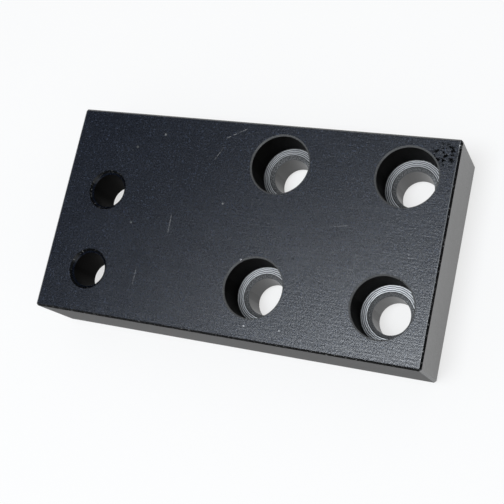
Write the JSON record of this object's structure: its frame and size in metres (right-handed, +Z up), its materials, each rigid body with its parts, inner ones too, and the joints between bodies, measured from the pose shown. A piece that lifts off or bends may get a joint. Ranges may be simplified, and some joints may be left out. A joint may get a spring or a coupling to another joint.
{
  "type": "machined mounting block",
  "caption": "Flat rectangular black anodised block with a rectangle of counterbored screw holes at one end and a row of plain bolt holes at the other, for bolting one part onto another.",
  "frame": {"origin": "middle of the bottom face, the face without counterbores", "axes": "+X along the length towards the counterbored end, +Y across the block, +Z up out of the counterbored face"},
  "size_m": [0.0952, 0.0508, 0.0173],
  "materials": {
    "block": "black anodised, satin, with fine milling marks and light handling wear"
  },
  "bodies": {
    "root": {"mounting_block": "block"}
  },
  "joints": []
}
